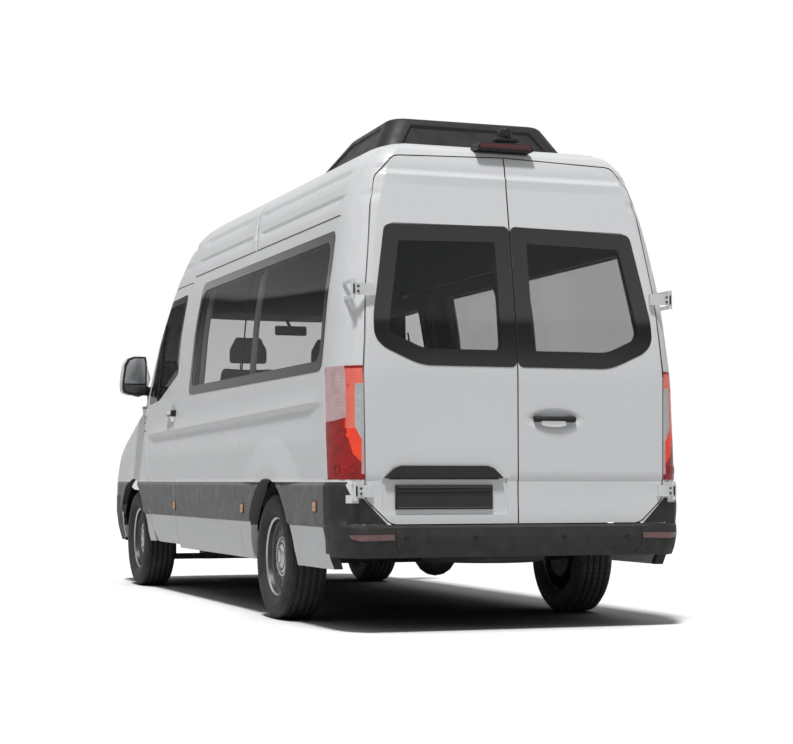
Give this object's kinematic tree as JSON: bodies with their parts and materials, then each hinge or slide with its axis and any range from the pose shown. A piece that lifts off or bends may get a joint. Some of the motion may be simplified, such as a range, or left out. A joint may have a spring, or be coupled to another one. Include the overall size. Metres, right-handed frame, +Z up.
{
  "type": "high-roof window van",
  "caption": "High-roof window van with glazed rear doors, hinged front doors, opening bonnet, steered front wheels and a roof air conditioner.",
  "frame": {"origin": "on the ground under the middle of the van's length and width", "axes": "+X forward, +Y to the van's left, +Z up"},
  "size_m": [5.932, 2.344, 2.785],
  "materials": {
    "white_paint": "gloss white paint",
    "window_glass": "dark tinted glass with a black edge",
    "clear_lens": "clear lamp lens",
    "red_lens": "red lamp lens",
    "charcoal_plastic": "grained charcoal plastic",
    "grey_plastic": "grey moulded trim",
    "tyre_rubber": "black tyre rubber",
    "dark_steel": "dark painted steel",
    "seat_fabric": "dark woven cloth"
  },
  "bodies": {
    "body": {"side_panel_left": "white_paint", "side_glass_left": "window_glass", "side_panel_right": "white_paint", "side_glass_right": "window_glass", "sliding_door": "white_paint", "sliding_door_glass": "window_glass", "roof_panel": "white_paint", "rear_frame": "white_paint", "tail_lamp_left": "red_lens", "tail_lamp_right": "red_lens", "rear_bumper": "charcoal_plastic", "cab_frame": "white_paint", "windscreen": "window_glass", "fender_left": "white_paint", "fender_right": "white_paint", "headlamp_left": "clear_lens", "headlamp_right": "clear_lens", "grille": "charcoal_plastic", "front_bumper": "charcoal_plastic", "floor_pan": "dark_steel", "rear_axle": "dark_steel", "front_axle": "dark_steel", "strut_left": "dark_steel", "strut_right": "dark_steel", "engine_block": "dark_steel", "fuel_tank": "charcoal_plastic", "exhaust": "dark_steel", "spare_wheel": "tyre_rubber", "bulkhead": "grey_plastic", "dashboard": "grey_plastic", "seat_driver": "seat_fabric", "seat_passenger": "seat_fabric", "roof_air_conditioner": "charcoal_plastic", "high_brake_lamp": "red_lens"},
    "door_front_left": {"door_front_left": "white_paint", "door_glass_front_left": "window_glass", "mirror_left": "charcoal_plastic"},
    "door_front_right": {"door_front_right": "white_paint", "door_glass_front_right": "window_glass", "mirror_right": "charcoal_plastic"},
    "door_rear_left": {"door_rear_left": "white_paint", "door_glass_rear_left": "window_glass"},
    "door_rear_right": {"door_rear_right": "white_paint", "door_glass_rear_right": "window_glass"},
    "bonnet": {"bonnet": "white_paint"},
    "knuckle_left": {"knuckle_left": "dark_steel"},
    "knuckle_right": {"knuckle_right": "dark_steel"},
    "wheel_front_left": {"tyre_front_left": "tyre_rubber", "wheel_front_left": "dark_steel"},
    "wheel_front_right": {"tyre_front_right": "tyre_rubber", "wheel_front_right": "dark_steel"},
    "wheel_rear_left": {"tyre_rear_left": "tyre_rubber", "wheel_rear_left": "dark_steel"},
    "wheel_rear_right": {"tyre_rear_right": "tyre_rubber", "wheel_rear_right": "dark_steel"},
    "steering_wheel": {"steering_wheel": "charcoal_plastic"}
  },
  "joints": [
    {"name": "door_front_left_hinge", "type": "hinge", "parent": "body", "child": "door_front_left", "pos_m": [1.712, 0.982, 1.165], "axis": [0, 0, -1], "range_deg": [0, 60]},
    {"name": "door_front_right_hinge", "type": "hinge", "parent": "body", "child": "door_front_right", "pos_m": [1.712, -0.982, 1.165], "axis": [0, 0, 1], "range_deg": [0, 60]},
    {"name": "door_rear_left_hinge", "type": "hinge", "parent": "body", "child": "door_rear_left", "pos_m": [-2.937, 0.9, 0.722], "axis": [-0.04, 0, -0.9992], "range_deg": [0, 180]},
    {"name": "door_rear_right_hinge", "type": "hinge", "parent": "body", "child": "door_rear_right", "pos_m": [-2.937, -0.9, 0.722], "axis": [0.04, 0, 0.9992], "range_deg": [0, 180]},
    {"name": "bonnet_hinge", "type": "hinge", "parent": "body", "child": "bonnet", "pos_m": [2.194, 0, 1.24339], "axis": [0, -1, 0], "range_deg": [0, 60]},
    {"name": "steer_left", "type": "hinge", "parent": "body", "child": "knuckle_left", "pos_m": [1.961, 0.7, 0.35], "axis": [0, 0, 1], "range_deg": [-35, 35]},
    {"name": "steer_right", "type": "hinge", "parent": "body", "child": "knuckle_right", "pos_m": [1.961, -0.7, 0.35], "axis": [0, 0, 1], "range_deg": [-35, 35]},
    {"name": "steering_wheel_turn", "type": "hinge", "parent": "body", "child": "steering_wheel", "pos_m": [1.12519, 0.45, 1.19526], "axis": [-0.866, 0, 0.5], "range_deg": [-530, 530]},
    {"name": "wheel_front_left_spin", "type": "hinge", "parent": "knuckle_left", "child": "wheel_front_left", "pos_m": [1.961, 0.868, 0.35], "axis": [0, 1, 0], "continuous": true},
    {"name": "wheel_front_right_spin", "type": "hinge", "parent": "knuckle_right", "child": "wheel_front_right", "pos_m": [1.961, -0.868, 0.35], "axis": [0, 1, 0], "continuous": true},
    {"name": "wheel_rear_left_spin", "type": "hinge", "parent": "body", "child": "wheel_rear_left", "pos_m": [-1.704, 0.868, 0.35], "axis": [0, 1, 0], "continuous": true},
    {"name": "wheel_rear_right_spin", "type": "hinge", "parent": "body", "child": "wheel_rear_right", "pos_m": [-1.704, -0.868, 0.35], "axis": [0, 1, 0], "continuous": true}
  ],
  "couplings": [
    {"joint": "steer_right", "follows": "steer_left", "ratio": 1},
    {"joint": "steering_wheel_turn", "follows": "steer_left", "ratio": 15}
  ]
}
